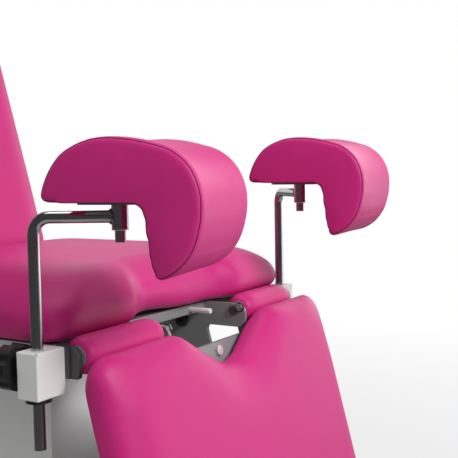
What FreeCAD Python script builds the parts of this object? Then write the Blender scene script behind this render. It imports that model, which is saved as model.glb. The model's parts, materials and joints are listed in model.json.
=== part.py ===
import FreeCAD, Part
import math
import os

V = FreeCAD.Vector
os.makedirs("parts", exist_ok=True)

# Sizes in mm. Model axes: x to the patient's left, y back from the post line, z up from the clamp tops.
clamp_top = 520.0        # clamp box top above the floor, lift down
post_line = -294.0       # y of the post line in the part's own frame

# Fits
run_fit = 0.05           # radial play of a shaft in its hole
bolt_fit = 0.3           # radial play of a bolt in a drilled hole
side_fit = 0.4           # play between plates that turn past each other
soft_gap = 0.4           # between padding and the steel it wraps

# Widths, all from the seat frame's
rail_out = 297.0         # outer face of the side rails
seat_over = 17.0         # the seat cushion past the rails
back_short = 3.0         # the back cushion inside the rails
leg_over = 15.0          # the leg cushion past the rails
post_off = 33.0          # post axis from the rail's face
box_wide = 53.0
lug_inset = 6.0          # hinge lug's inner face from the rail's outer face
doubler = 2.5            # plate outside the lug that carries the clamp box
seat_half = rail_out + seat_over
back_half = rail_out - back_short
leg_half = rail_out + leg_over
post_x = rail_out + post_off
box_in = rail_out + doubler
box_out = rail_out + box_wide
lug_x = rail_out - lug_inset
barrel_gap = 2.0         # leg roll's barrel from the lug
barrel_out = lug_x - barrel_gap

# Seat
seat_bottom = 6.0        # where the cushion rests on its board
seat_skirt = 0.6         # the cover's lower edge, down beside the board
seat_top = 91.5
seat_front = -24.0       # y of the most forward line
seat_rear = 541.0
lobe_half = 146.0        # half width between the front lobes
scallop_half = 104.0     # half width of the cut's straight wall
scallop_depth = 25.0
pocket_gap = 0.6
board_thick = 8.0
board_inset = 34.0

# Seat frame
tube_high = 40.0
tube_wide = 25.0
tube_wall = 2.5
rail_front = -2.0
lug_front = -40.0
lug_top = 1.0
doubler_ends = (-25.0, 24.0)
rail_rear = seat_rear + 38.0
front_bar_y = 30.0
pan_bar_high = 16.0          # the low bar between the cheeks
bar_deep = 30.0
rear_bar_y = rail_rear - 110.0
plate_thick = 6.0

# Leg section
leg_axis = (-30.0, -14.0)    # y and z of its hinge
leg_hang = 15.0              # degrees from plumb at rest
leg_range = 75.0
roll_r = 27.0
barrel_r = 15.0
barrel_in = 118.0
hinge_bolt_r = 6.0
cheek_in = 107.0
leg_end = 424.0
leg_face = 72.0              # front face from the hinge plane
leg_back = 17.0
notch_half = 128.0
notch_deep = 88.0
leg_ply = 12.0
beam_top = 40.0
beam_high = 36.0
leg_lever_r = 35.0
spring_x = -74.0             # the gas spring, to the right of the middle
leg_pin_r = 5.0

# Backrest
back_axis = (seat_rear + 74.0, 30.0)
back_lean = 16.5             # degrees from plumb at rest
back_range = 73.5
back_low = -12.0
back_top = 740.0
back_face = 72.0
back_rear = -20.0
back_ply = 12.0
back_pin_r = 8.0
back_lever_r = 100.0
drive_x = 125.0
drive_long = 340.0
drive_rod_long = 355.0
drive_pin_r = 8.0

# Column and base, heights from the floor
column_y = 300.0
foot_high = 15.0
skid_high = 35.0
skid_wide = 60.0
skid_x = 220.0
skid_ends = (-40.0, 700.0)
base_thick = 12.0
flange_thick = 10.0
outer_half = 75.0
inner_half = 65.0
column_wall = 4.0
outer_top = clamp_top - 80.0
head_thick = 10.0
lift_range = 220.0

# Knee supports: side, swing inward from forward, toe-in of the pad, raise of the post
post_r = 8.0
post_reach = 112.5
post_bend = 22.0
bar_height = 170.7
post_low = -130.0
support_sides = (("right", -1, 26.5, 12.0, 0.0), ("left", 1, 41.7, -5.5, 9.7))
box_half = 18.0
box_high = 62.0
box_lid = 5.0            # thickness of its top
bush_r = 13.0
hub_r = 10.7
hub_low = 154.4
swivel_r = 7.0
swivel_low = 138.3
pad_bottom = 191.0
pad_half = 82.0
pad_plate_thick = 4.0
pad_edge = 6.0
knob_r = 31.0
knob_y = 30.0
knob_z = -26.0
knob_lobes = 6
screw_r = 4.0

# Derived places
rail_in = rail_out - tube_wide
frame_top = seat_bottom - board_thick
frame_low = frame_top - tube_high
cheek_out = cheek_in + plate_thick
drive_z = back_axis[1] - back_lever_r
spring_z = leg_axis[1] - leg_lever_r
head_low = frame_low - head_thick
shift = V(0, post_line, clamp_top)


def floor(z):
    return z - clamp_top


def save(name, shape):
    out = shape.copy()
    out.translate(shift)
    if not out.isValid():
        print("not valid:", name)
    out.exportStep("parts/" + name + ".step")
    box = out.BoundBox
    print(name, len(out.Solids), round(box.XLength), round(box.YLength), round(box.ZLength))


def group(shapes):
    return Part.makeCompound(shapes)


def block(x0, x1, y0, y1, z0, z1):
    return Part.makeBox(abs(x1 - x0), y1 - y0, z1 - z0, V(min(x0, x1), y0, z0))


def rod(r, start, end):
    way = end - start
    return Part.makeCylinder(r, way.Length, start, way)


def ring(r_out, r_in, start, end):
    return rod(r_out, start, end).cut(rod(r_in, start, end))


def tube_x(x0, x1, y0, y1, z0, z1, wall):
    lo, hi = min(x0, x1), max(x0, x1)
    return block(lo, hi, y0, y1, z0, z1).cut(block(lo - 1, hi + 1, y0 + wall, y1 - wall, z0 + wall, z1 - wall))


def tube_y(x0, x1, y0, y1, z0, z1, wall):
    lo, hi = min(x0, x1), max(x0, x1)
    return block(lo, hi, y0, y1, z0, z1).cut(block(lo + wall, hi - wall, y0 - 1, y1 + 1, z0 + wall, z1 - wall))


def square_tube(half, wall, z0, z1):
    outer = block(-half, half, column_y - half, column_y + half, z0, z1)
    inner = half - wall
    return outer.cut(block(-inner, inner, column_y - inner, column_y + inner, z0 - 1, z1 + 1))


def hex_rod(across, start, end):
    # hexagonal prism along x
    r = across / math.sqrt(3)
    pts = []
    for i in range(7):
        a = math.pi / 3 * i
        pts.append(V(start.x, start.y + r * math.cos(a), start.z + r * math.sin(a)))
    return Part.Face(Part.makePolygon(pts)).extrude(end - start)


def hex_upright(across, start, end):
    r = across / math.sqrt(3)
    pts = []
    for i in range(7):
        a = math.pi / 3 * i
        pts.append(V(start.x + r * math.cos(a), start.y + r * math.sin(a), start.z))
    return Part.Face(Part.makePolygon(pts)).extrude(end - start)


def round_wire(points, radii):
    # closed wire through the points with each corner rounded to its radius
    edges = []
    ends = []
    n = len(points)
    for i in range(n):
        p = points[i]
        if radii[i] <= 0:
            ends.append((p, None, p))
            continue
        d1 = (points[i - 1] - p).normalize()
        d2 = (points[(i + 1) % n] - p).normalize()
        half = d1.getAngle(d2) / 2
        bis = (d1 + d2).normalize()
        reach = radii[i] / math.tan(half)
        mid = p + bis * (radii[i] / math.sin(half) - radii[i])
        ends.append((p + d1 * reach, mid, p + d2 * reach))
    for i in range(n):
        a, mid, b = ends[i]
        if mid is not None:
            edges.append(Part.Arc(a, mid, b).toShape())
        nxt = ends[(i + 1) % n][0]
        if (nxt - b).Length > 1e-6:
            edges.append(Part.LineSegment(b, nxt).toShape())
    return Part.Wire(edges)


def plate(points, radii, way):
    return Part.Face(round_wire(points, radii)).extrude(way)


def plane_map(origin, along, out):
    # turns (x, a along, b out) into a point
    def at(x, a, b):
        return V(x, origin[0] + a * along[0] + b * out[0], origin[1] + a * along[1] + b * out[1])
    return at


hang = math.radians(leg_hang)
leg_at = plane_map(leg_axis, (-math.sin(hang), -math.cos(hang)), (-math.cos(hang), math.sin(hang)))
lean = math.radians(back_lean)
back_at = plane_map(back_axis, (math.sin(lean), math.cos(lean)), (-math.cos(lean), math.sin(lean)))


def local_block(at, x0, x1, a0, a1, b0, b1):
    pts = [at(x0, a0, b0), at(x0, a1, b0), at(x0, a1, b1), at(x0, a0, b1)]
    return plate(pts, [0, 0, 0, 0], V(x1 - x0, 0, 0))


def local_tube(at, x0, x1, a0, a1, b0, b1, wall):
    inner = local_block(at, x0 - 1, x1 + 1, a0 + wall, a1 - wall, b0 + wall, b1 - wall)
    return local_block(at, x0, x1, a0, a1, b0, b1).cut(inner)


def axle(origin, r, x0, x1):
    return rod(r, V(x0, origin[0], origin[1]), V(x1, origin[0], origin[1]))


def slot_cut(at, ang, r0, r1, width, x0, x1):
    # slot along a ray from the hinge, in the local plane
    ca, cb = math.cos(ang), math.sin(ang)
    h = width / 2
    pts = []
    for r, s in ((r0, -h), (r1, -h), (r1, h), (r0, h)):
        pts.append(at(x0, r * ca - s * cb, r * cb + s * ca))
    return plate(pts, [h * 0.98] * 4, V(x1 - x0, 0, 0))


# Base
skids = []
feet = []
for s in (-1, 1):
    lo, hi = s * skid_x - skid_wide / 2, s * skid_x + skid_wide / 2
    skids.append(tube_y(lo, hi, skid_ends[0], skid_ends[1], floor(foot_high), floor(foot_high + skid_high), 3.0))
    for y in (skid_ends[0] + 45, skid_ends[1] - 45):
        foot = Part.makeCone(24, 20, foot_high, V(s * skid_x, y, floor(foot_high)), V(0, 0, -1))
        feet.append(foot)
save("skids", group(skids))
save("rubber_feet", group(feet))

plate_low = foot_high + skid_high
plate_top = plate_low + base_thick
flange_top = plate_top + flange_thick
flange_half = outer_half + 40
bolt_spots = [(x, column_y + y) for x in (-95, 95) for y in (-95, 95)]
base = block(-skid_x - skid_wide / 2, skid_x + skid_wide / 2, column_y - 170, column_y + 170,
             floor(plate_low), floor(plate_top))
flange = block(-flange_half, flange_half, column_y - flange_half, column_y + flange_half,
               floor(plate_top), floor(flange_top))
inside = outer_half - column_wall
flange = flange.cut(block(-inside, inside, column_y - inside, column_y + inside,
                          floor(plate_top - 1), floor(flange_top + 1)))
column = square_tube(outer_half, column_wall, floor(flange_top), floor(outer_top))
bolts = []
bolt_r = 5.0
for x, y in bolt_spots:
    hole = rod(bolt_r + bolt_fit, V(x, y, floor(plate_low - 1)), V(x, y, floor(flange_top + 1)))
    base = base.cut(hole)
    flange = flange.cut(hole)
    shank = rod(bolt_r, V(x, y, floor(plate_low)), V(x, y, floor(flange_top)))
    head = hex_upright(16, V(x, y, floor(flange_top)), V(x, y, floor(flange_top + 7)))
    bolts.append(shank.fuse(head))
save("base_plate", base)
save("column_outer", flange.fuse(column).removeSplitter())
save("flange_bolts", group(bolts))


def four_guides(r0, r1, z0, z1):
    # four flat guides round the column, r0 to r1 from its axis
    half = 45
    out = []
    for s in (-1, 1):
        a, b = sorted((s * r0, s * r1))
        out.append(block(a, b, column_y - half, column_y + half, z0, z1))
        out.append(block(-half, half, column_y + a, column_y + b, z0, z1))
    return group(out)


glide_fit = 0.1
glide_high = 60.0
save("column_glides", four_guides(inner_half + glide_fit, inside, floor(outer_top - glide_high), floor(outer_top)))

cover_x, cover_y, cover_wall = 170.0, 145.0, 3.0
cover_top = plate_top + 100
cover = block(-cover_x, cover_x, column_y - cover_y, column_y + cover_y, floor(plate_top), floor(cover_top))
long_edges = [e for e in cover.Edges if abs(e.Vertexes[0].Z - e.Vertexes[-1].Z) > 50]
cover = cover.makeFillet(24, long_edges)
cover = cover.makeFillet(10, [e for e in cover.Edges if e.BoundBox.ZMin > floor(cover_top) - 0.1])
hollow = block(-cover_x + cover_wall, cover_x - cover_wall, column_y - cover_y + cover_wall,
               column_y + cover_y - cover_wall, floor(plate_top) - 1, floor(cover_top) - cover_wall)
hollow = hollow.makeFillet(21, [e for e in hollow.Edges if abs(e.Vertexes[0].Z - e.Vertexes[-1].Z) > 50])
collar = outer_half + 1
cover = cover.cut(hollow)
cover = cover.cut(block(-collar, collar, column_y - collar, column_y + collar, floor(plate_top), floor(cover_top) + 1))
inlet_x, inlet_z, inlet_half, inlet_high = -90.0, floor(plate_top + 52), 25.0, 15.0
inlet_y = column_y + cover_y
cover = cover.cut(block(inlet_x - inlet_half, inlet_x + inlet_half, inlet_y - cover_wall - 1, inlet_y + 1,
                        inlet_z - inlet_high, inlet_z + inlet_high))
save("base_cover", cover)
rim = 4.0
inlet = block(inlet_x - inlet_half - rim, inlet_x + inlet_half + rim, inlet_y, inlet_y + 3,
              inlet_z - inlet_high - rim, inlet_z + inlet_high + rim)
inlet = inlet.fuse(block(inlet_x - inlet_half + bolt_fit, inlet_x + inlet_half - bolt_fit, inlet_y - 24, inlet_y,
                         inlet_z - inlet_high + bolt_fit, inlet_z + inlet_high - bolt_fit)).removeSplitter()
inlet = inlet.cut(block(inlet_x - 14, inlet_x + 14, inlet_y - 16, inlet_y + 4, inlet_z - 10, inlet_z + 10))
for x in (-7, 0, 7):
    inlet = inlet.fuse(block(inlet_x + x - 1.2, inlet_x + x + 1.2, inlet_y - 17, inlet_y - 2, inlet_z - 3, inlet_z + 3))
save("power_inlet", inlet)

# Lift inside the column
lift_rod_r = 14.0
gear_top = plate_top + 60
motor_y = column_y + 28
spindle_y = column_y - 26
gear = block(-40, 40, column_y - 56, column_y + 56, floor(plate_top), floor(gear_top))
motor = rod(24, V(0, motor_y, floor(gear_top)), V(0, motor_y, floor(gear_top + 130)))
save("lift_motor", gear.fuse(motor).removeSplitter())
tube_top = outer_top - 20
save("lift_tube", ring(24, lift_rod_r + run_fit, V(0, spindle_y, floor(gear_top)), V(0, spindle_y, floor(tube_top))))

# Carriage: inner column, head and seat frame
inner_low = plate_top + 24
save("column_inner", square_tube(inner_half, column_wall, floor(inner_low), head_low))
shoe_top = outer_top - glide_high - lift_range - 14
save("column_shoes", four_guides(inner_half, inside - glide_fit, floor(inner_low), floor(shoe_top)))
save("lift_rod", rod(lift_rod_r, V(0, spindle_y, floor(gear_top + 40)), V(0, spindle_y, head_low)))

mid_bars = (column_y - 75, column_y + 45)
head_half = 95.0
head_spots = [(x, y + bar_deep / 2) for x in (-80, 80) for y in mid_bars]
head = block(-head_half, head_half, mid_bars[0] - 8, mid_bars[1] + bar_deep + 8, head_low, frame_low)
bars = []
for y in mid_bars + (rear_bar_y,):
    bars.append(tube_x(-rail_in, rail_in, y, y + bar_deep, frame_low, frame_top, tube_wall))
pan_bar_low = frame_top - pan_bar_high
front_bars = ((-rail_in, -cheek_out, frame_low), (-cheek_in, cheek_in, pan_bar_low), (cheek_out, rail_in, frame_low))
for x0, x1, low in front_bars:
    bars.append(tube_x(x0, x1, front_bar_y, front_bar_y + bar_deep, low, frame_top, tube_wall))
head_bolts = []
for x, y in head_spots:
    hole = rod(bolt_r + bolt_fit, V(x, y, head_low - 1), V(x, y, frame_low + tube_wall + 1))
    head = head.cut(hole)
    bars = [b.cut(hole) for b in bars]
    shank = rod(bolt_r, V(x, y, head_low), V(x, y, frame_low + 20))
    head_bolts.append(shank.fuse(hex_upright(16, V(x, y, head_low - 7), V(x, y, head_low))))
save("head_plate", head)
save("head_bolts", group(head_bolts))

release_x, release_z, release_r = 64.0, frame_top - 8, 4.5
release_hole = rod(release_r + run_fit, V(release_x, front_bar_y - 1, release_z),
                   V(release_x, front_bar_y + tube_wall + 1, release_z))
bars = [b.cut(release_hole) for b in bars]
save("seat_crossbars", group(bars))
for name, s in (("right_rail", -1), ("left_rail", 1)):
    rail = tube_y(s * rail_in, s * rail_out, rail_front, rail_rear, frame_low, frame_top, tube_wall)
    cap = block(s * (rail_in + tube_wall), s * (rail_out - tube_wall), rail_front, rail_front + 4,
                frame_low + tube_wall, frame_top - tube_wall)
    save(name, rail.fuse(cap).removeSplitter())

# Seat board and cushion
def crown_in(share, reach, power):
    # inset of a crowned edge at a share of its height, a superellipse
    return reach * (1 - (1 - share ** power) ** (1 / power))


def seat_outline(z, front, half, rear, corner, deep):
    # two front lobes with a cut between them; all keep their share of the width
    k = (half - 20) / (seat_half - 20)
    wide, cut = lobe_half * k, scallop_half * k
    pts = [V(-half, front, z), V(-wide, front, z), V(-cut, front + deep, z), V(cut, front + deep, z),
           V(wide, front, z), V(half, front, z), V(half, rear, z), V(-half, rear, z)]
    return round_wire(pts, [corner, 34 * k, 60 * k, 60 * k, 34 * k, corner, 40, 40])


crown_shares = (0.0, 0.3, 0.52, 0.7, 0.84, 0.94, 0.985, 0.998)
belly = 22.0             # height of the widest line above the cushion's lower edge
wires = [seat_outline(seat_skirt, seat_front + 17, seat_half - 7, seat_rear - 6, 56, scallop_depth),
         seat_outline(seat_skirt + 10, seat_front + 3, seat_half - 2, seat_rear - 2, 62, scallop_depth)]
for share in crown_shares:
    z = seat_skirt + belly + share * (seat_top - seat_skirt - belly)
    half = seat_half - crown_in(share, 150, 2.6)
    front = seat_front + crown_in(share, 100, 2.3)
    rear = seat_rear - crown_in(share, 140, 2.6)
    wires.append(seat_outline(z, front, half, rear, 64 + 8 * share, scallop_depth * (1 - 0.35 * share)))


def board_outline(grow):
    half, front, rear = seat_half - board_inset + grow, seat_front + 44 - grow, seat_rear - board_inset + grow
    return seat_outline(frame_top, front, half, rear, 30, scallop_depth)


pocket = Part.Face(board_outline(pocket_gap)).extrude(V(0, 0, board_thick))
cushion = Part.makeLoft(wires, True, False, False, 3).cut(pocket)
for s in (-1, 1):
    # relief where the front rests on the leg rolls
    cushion = cushion.cut(axle(leg_axis, roll_r + soft_gap, s * (barrel_in - 4), s * (barrel_out + 4)))
save("seat_cushion", cushion)
save("seat_board", Part.Face(board_outline(0.0)).extrude(V(0, 0, board_thick)))

# Leg section hinge points on the seat frame
cheeks = []
lugs = []
hinge_bolts = []
cheek_bolts = []
cheek_bolt_at = (-43.6, -7.6)
bumpers = []
bolt_hole = hinge_bolt_r + run_fit
for s in (-1, 1):
    x = s * cheek_in
    pts = [V(x, -52, frame_top), V(x, 104, frame_top), V(x, 104, -88), V(x, 14, -88), V(x, 27, frame_low),
           V(x, -52, frame_low)]
    cheek = plate(pts, [16, 0, 12, 12, 8, 16], V(s * plate_thick, 0, 0))
    cheek = cheek.cut(axle(cheek_bolt_at, 3.5 + bolt_fit, x - 20, x + 20))
    cheeks.append(cheek.cut(axle(leg_axis, hinge_bolt_r, x - 20, x + 20)))
    bolt = axle(cheek_bolt_at, 3.5, s * cheek_in, s * (cheek_out - 0.5))
    spot = [V(s * (cheek_in - side), cheek_bolt_at[0], cheek_bolt_at[1]) for side in (5.5, 0)]
    cheek_bolts.append(bolt.fuse(hex_rod(11, spot[0], spot[1])))
    x = s * lug_x
    pts = [V(x, lug_front, lug_top), V(x, rail_front, lug_top), V(x, rail_front, frame_low), V(x, lug_front, frame_low)]
    lug = plate(pts, [18, 0, 0, 4], V(s * plate_thick, 0, 0))
    lug = lug.cut(axle(leg_axis, hinge_bolt_r, s * (lug_x - 1), s * rail_out))
    x = s * rail_out
    start, stop = doubler_ends
    pts = [V(x, start, lug_top), V(x, rail_front - 4, lug_top), V(x, rail_front, frame_top), V(x, stop, frame_top),
           V(x, stop, frame_low), V(x, start, frame_low)]
    lugs.append(lug.fuse(plate(pts, [0] * 6, V(s * doubler, 0, 0))).removeSplitter())
    head_x = cheek_in - 4
    bolt = axle(leg_axis, hinge_bolt_r, s * cheek_in, s * (rail_out - 0.5))
    bolt = bolt.fuse(axle(leg_axis, 8, s * head_x, s * cheek_in))
    hinge_bolts.append(bolt)
    bumper = rod(12, V(s * cheek_in, 75, -38), V(s * (cheek_in - 9), 75, -38))
    bumper = bumper.makeFillet(2.5, [e for e in bumper.Edges if abs(e.BoundBox.Center.x) < cheek_in - 8])
    bumper = bumper.cut(rod(3, V(s * (cheek_in - 10), 75, -38), V(s * (cheek_in - 6), 75, -38)))
    bumpers.append(bumper)
save("hinge_cheeks", group(cheeks))
save("hinge_lugs", group(lugs))
save("leg_hinge_bolts", group(hinge_bolts))
save("cheek_bolts", group(cheek_bolts))
save("stop_bumpers", group(bumpers))

# Backrest hinge points and drive on the seat frame
bracket_x = rail_out
arm_x = bracket_x + plate_thick + side_fit
brackets = []
pins = []
by, bz = back_axis
for s in (-1, 1):
    x = s * bracket_x
    pts = [V(x, rail_rear - 80, frame_top), V(x, by - 52, frame_top), V(x, by - 34, bz + 30), V(x, by + 30, bz + 30),
           V(x, by + 30, frame_low), V(x, rail_rear - 80, frame_low)]
    bracket = plate(pts, [4, 8, 24, 24, 20, 4], V(s * plate_thick, 0, 0))
    brackets.append(bracket.cut(axle(back_axis, back_pin_r, x - 20, x + 20)))
    pin = axle(back_axis, back_pin_r, s * (bracket_x - 2), s * (arm_x + plate_thick + 4))
    pin = pin.fuse(axle(back_axis, 13, s * (arm_x + plate_thick + side_fit), s * (arm_x + plate_thick + 5)))
    pins.append(pin.removeSplitter())
save("back_brackets", group(brackets))
save("back_hinge_pins", group(pins))

back_half_range = math.radians(back_range / 2)
back_pin_y = by + back_lever_r * math.tan(back_half_range)
drive_r, drive_rod_r = 23.0, 11.0
drive_end = rear_bar_y + bar_deep + 8
drive_start = drive_end - drive_long
drive = rod(drive_r, V(drive_x, drive_start, drive_z), V(drive_x, drive_end, drive_z))
drive = drive.fuse(block(drive_x - 26, drive_x + 26, drive_start - 40, drive_start + 6, drive_z - 34, drive_z + 24))
drive = drive.fuse(block(drive_x - 15, drive_x + 15, rear_bar_y, rear_bar_y + bar_deep, drive_z, frame_low))
bore_end = drive_start + 12
drive = drive.cut(rod(drive_rod_r + run_fit, V(drive_x, bore_end, drive_z), V(drive_x, drive_end + 1, drive_z)))
save("back_drive_tube", drive.removeSplitter())
eye_half = 12.0
rod_in = back_pin_y - drive_rod_long
drive_rod = rod(drive_rod_r, V(drive_x, rod_in, drive_z), V(drive_x, back_pin_y - 8, drive_z))
drive_rod = drive_rod.fuse(rod(15, V(drive_x - eye_half, back_pin_y, drive_z), V(drive_x + eye_half, back_pin_y, drive_z)))
drive_rod = drive_rod.fuse(rod(drive_pin_r, V(drive_x - 26, back_pin_y, drive_z), V(drive_x + 26, back_pin_y, drive_z)))
save("back_drive_rod", drive_rod.removeSplitter())

leg_half_range = math.radians(leg_range / 2)
leg_pin_y = leg_axis[0] + leg_lever_r * math.tan(leg_half_range)
spring_r, spring_rod_r = 14.0, 5.0
spring_start = front_bar_y + bar_deep
spring = block(spring_x - 16, spring_x + 16, spring_start, spring_start + 6, spring_z - 16, frame_top - 4)
spring = spring.fuse(rod(spring_r, V(spring_x, spring_start, spring_z), V(spring_x, spring_start + 145, spring_z)))
spring = spring.cut(rod(spring_rod_r + run_fit, V(spring_x, spring_start - 1, spring_z),
                        V(spring_x, spring_start + 130, spring_z)))
save("leg_spring_tube", spring.removeSplitter())
eye_x = 7.0
spring_rod = rod(spring_rod_r, V(spring_x, leg_pin_y + 4, spring_z), V(spring_x, spring_start + 90, spring_z))
for r, half in ((9, eye_x), (leg_pin_r, 17)):
    spring_rod = spring_rod.fuse(rod(r, V(spring_x - half, leg_pin_y, spring_z), V(spring_x + half, leg_pin_y, spring_z)))
save("leg_spring_rod", spring_rod.removeSplitter())
release = rod(release_r, V(release_x, front_bar_y - 42, release_z), V(release_x, front_bar_y + 14, release_z))
release = release.makeFillet(1.2, [e for e in release.Edges if e.BoundBox.YMax < front_bar_y - 41])
save("release_rod", release)

# Backrest
back_belly = 26.0
wires = []
rows = [(back_rear, 12.0)]
for share in crown_shares:
    rows.append((back_rear + back_belly + share * (back_face - back_rear - back_belly), crown_in(share, 80, 3.0)))
for out, inset in rows:
    half = back_half - inset
    low, top = back_low + inset, back_top - inset
    pts = [back_at(-half, low, out), back_at(half, low, out), back_at(half, top, out), back_at(-half, top, out)]
    wires.append(round_wire(pts, [40, 40, 80, 80]))
save("back_cushion", Part.makeLoft(wires, True, False, False, 3))
ply_low = back_rear - back_ply
pts = [back_at(-back_half + 30, 30, ply_low), back_at(back_half - 30, 30, ply_low),
       back_at(back_half - 30, back_top - 40, ply_low), back_at(-back_half + 30, back_top - 40, ply_low)]
save("back_board", plate(pts, [40] * 4, back_at(0, 0, back_rear) - back_at(0, 0, ply_low)))
back_tube = 30.0
bar_low = ply_low - back_tube
arm_end = 420.0
back_bar_spots = (60.0, arm_end - 60)
arms = []
for s in (-1, 1):
    x = s * arm_x
    pts = [back_at(x, -30, -30), back_at(x, -30, 30), back_at(x, 34, 30), back_at(x, 70, back_rear + 8),
           back_at(x, arm_end, back_rear + 8), back_at(x, arm_end, bar_low), back_at(x, 20, bar_low)]
    arm = plate(pts, [24, 26, 20, 20, 10, 10, 20], V(s * plate_thick, 0, 0))
    arms.append(arm.cut(axle(back_axis, back_pin_r + run_fit, x - 20, x + 20)))
save("back_arms", group(arms))
cross = []
for a in back_bar_spots:
    cross.append(local_tube(back_at, -arm_x, arm_x, a, a + back_tube, bar_low, ply_low, tube_wall))
save("back_crossbars", group(cross))
# the lever points down and back at rest, straight down at half travel
tilt = lean + back_half_range
lever_ang = math.atan2(-math.cos(math.pi / 2 - tilt), -math.cos(tilt))
pin_far = back_lever_r / math.cos(back_half_range)
slot_wide = 2 * drive_pin_r + 12
levers = []
for x0 in (drive_x - eye_half - 8 - side_fit, drive_x + eye_half + side_fit):
    ca, cb = math.cos(lever_ang), math.sin(lever_ang)
    tip = pin_far + 26
    wide = slot_wide / 2 + 10
    pts = [back_at(x0, back_bar_spots[0] + back_tube, bar_low), back_at(x0, back_bar_spots[0], bar_low),
           back_at(x0, 0.35 * tip * ca + wide * cb * -1, 0.35 * tip * cb + wide * ca),
           back_at(x0, tip * ca - wide * cb, tip * cb + wide * ca),
           back_at(x0, tip * ca + wide * cb, tip * cb - wide * ca),
           back_at(x0, back_bar_spots[0] + back_tube, bar_low - 62)]
    side = plate(pts, [0, 0, 0, 20, 20, 14], V(8, 0, 0))
    levers.append(side.cut(slot_cut(back_at, lever_ang, back_lever_r - 20, pin_far + 14, slot_wide, x0 - 1, x0 + 9)))
save("back_lever", group(levers))

# Leg section
# rows: distance from the hinge plane, top end, inset
leg_belly = 26.0         # from the hinge plane to the widest line
wires = []
rows = [(leg_back, 26.0, 4.0), (leg_back + 10, 8.0, 1.0)]
for share in crown_shares:
    inset = crown_in(share, 72, 2.3)
    rows.append((leg_belly + 8 + share * (leg_face - leg_belly - 8), 4 + inset, inset))
for out, top, inset in rows:
    half, low = leg_half - inset, leg_end - inset
    wide = (notch_half + 0.5 * inset) * (notch_deep + inset - top) / (notch_deep - 4)
    pts = [leg_at(-half, top, out), leg_at(-wide, top, out), leg_at(0, notch_deep + inset, out), leg_at(wide, top, out),
           leg_at(half, top, out), leg_at(half, low, out), leg_at(-half, low, out)]
    outer = 16 - 0.1 * inset
    wires.append(round_wire(pts, [outer, 50, 86, 50, outer, 54, 54]))
cushion = Part.makeLoft(wires, True, False, False, 3)
cushion = cushion.cut(local_block(leg_at, -leg_half - 5, leg_half + 5, 0, leg_end + 5, 0, leg_back))
for s in (-1, 1):
    cushion = cushion.cut(axle(leg_axis, roll_r + soft_gap, s * barrel_in, s * barrel_out))
save("leg_cushion", cushion)
arm_low = leg_back - leg_ply
arm_wide = 34.0
pts = [leg_at(-leg_half + 30, 36, arm_low), leg_at(-barrel_in - 6, 36, arm_low), leg_at(-barrel_in - 6, 94, arm_low),
       leg_at(barrel_in + 6, 94, arm_low), leg_at(barrel_in + 6, 36, arm_low), leg_at(leg_half - 30, 36, arm_low),
       leg_at(leg_half - 30, leg_end - 30, arm_low), leg_at(-leg_half + 30, leg_end - 30, arm_low)]
save("leg_board", plate(pts, [40, 8, 20, 20, 8, 40, 40, 40], leg_at(0, 0, leg_back) - leg_at(0, 0, arm_low)))
leg_arms = []
bushes = []
for s in (-1, 1):
    x0, x1 = sorted((s * barrel_in, s * (barrel_in + arm_wide)))
    barrel = axle(leg_axis, barrel_r, s * barrel_in, s * barrel_out)
    bar = local_block(leg_at, x0, x1, 4, 330, arm_low - 12, arm_low)
    arm = barrel.fuse(bar).removeSplitter()
    arm = arm.cut(axle(leg_axis, bolt_hole, s * (barrel_in - 1), s * (barrel_out + 1)))
    leg_arms.append(arm)
    name = ("right" if s < 0 else "left") + "_leg_roll"
    roll = ring(roll_r, barrel_r + soft_gap, V(s * (barrel_in + 1), leg_axis[0], leg_axis[1]),
                V(s * (barrel_out - 1), leg_axis[0], leg_axis[1]))
    ends = [e for e in roll.Edges if e.Curve.TypeId == "Part::GeomCircle" and abs(e.Curve.Radius - roll_r) < 0.1]
    roll = roll.makeFillet(5, ends)
    roll = roll.cut(local_block(leg_at, x0 - 2, x1 + soft_gap, 0, 40, arm_low - 12 - soft_gap, arm_low + soft_gap))
    save(name, roll)
    bush = ring(12, bolt_hole, V(s * (cheek_out + side_fit), leg_axis[0], leg_axis[1]),
                V(s * barrel_in, leg_axis[0], leg_axis[1]))
    bushes.append(bush)
save("leg_arms", group(leg_arms))
save("hinge_bushes", group(bushes))
beam_in = arm_low - 14
beam = local_tube(leg_at, -barrel_in, barrel_in, beam_top, beam_top + beam_high, beam_in, arm_low + 5, tube_wall)
bolt_x, bolt_a = 18.0, beam_top + 14
beam_hole = rod(4 + bolt_fit, leg_at(bolt_x, bolt_a, beam_in - 30), leg_at(bolt_x, bolt_a, arm_low + 20))
save("leg_crossbeam", beam.cut(beam_hole))
spring_ang = math.atan2(-math.sin(hang + leg_half_range), math.cos(hang + leg_half_range))
leg_far = leg_lever_r / math.cos(leg_half_range)
leg_slot = 2 * leg_pin_r + 3.5
lever_in = beam_in
sides = []
ca, cb = math.cos(spring_ang), math.sin(spring_ang)
for x0 in (spring_x - eye_x - 5 - side_fit, spring_x + eye_x + side_fit):
    tip = leg_far + 14
    pts = [leg_at(x0, beam_top, lever_in), leg_at(x0, beam_top + 26, lever_in),
           leg_at(x0, tip * ca - 15 * cb, tip * cb + 15 * ca), leg_at(x0, tip * ca + 15 * cb, tip * cb - 15 * ca),
           leg_at(x0, (leg_lever_r - 16) * ca + 13 * cb, (leg_lever_r - 16) * cb - 13 * ca)]
    side = plate(pts, [0, 0, 9, 9, 8], V(5, 0, 0))
    cut = slot_cut(leg_at, spring_ang, leg_lever_r - 9, leg_far + 8, leg_slot, x0 - 1, x0 + 6)
    sides.append(side.cut(cut))
save("leg_lever", group(sides))
face_out = arm_low + 5
lever_bolt = rod(4, leg_at(bolt_x, bolt_a, beam_in - 5), leg_at(bolt_x, bolt_a, face_out))
cap = rod(8, leg_at(bolt_x, bolt_a, face_out), leg_at(bolt_x, bolt_a, face_out + 5))
save("lever_bolt", lever_bolt.fuse(cap).removeSplitter())


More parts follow.
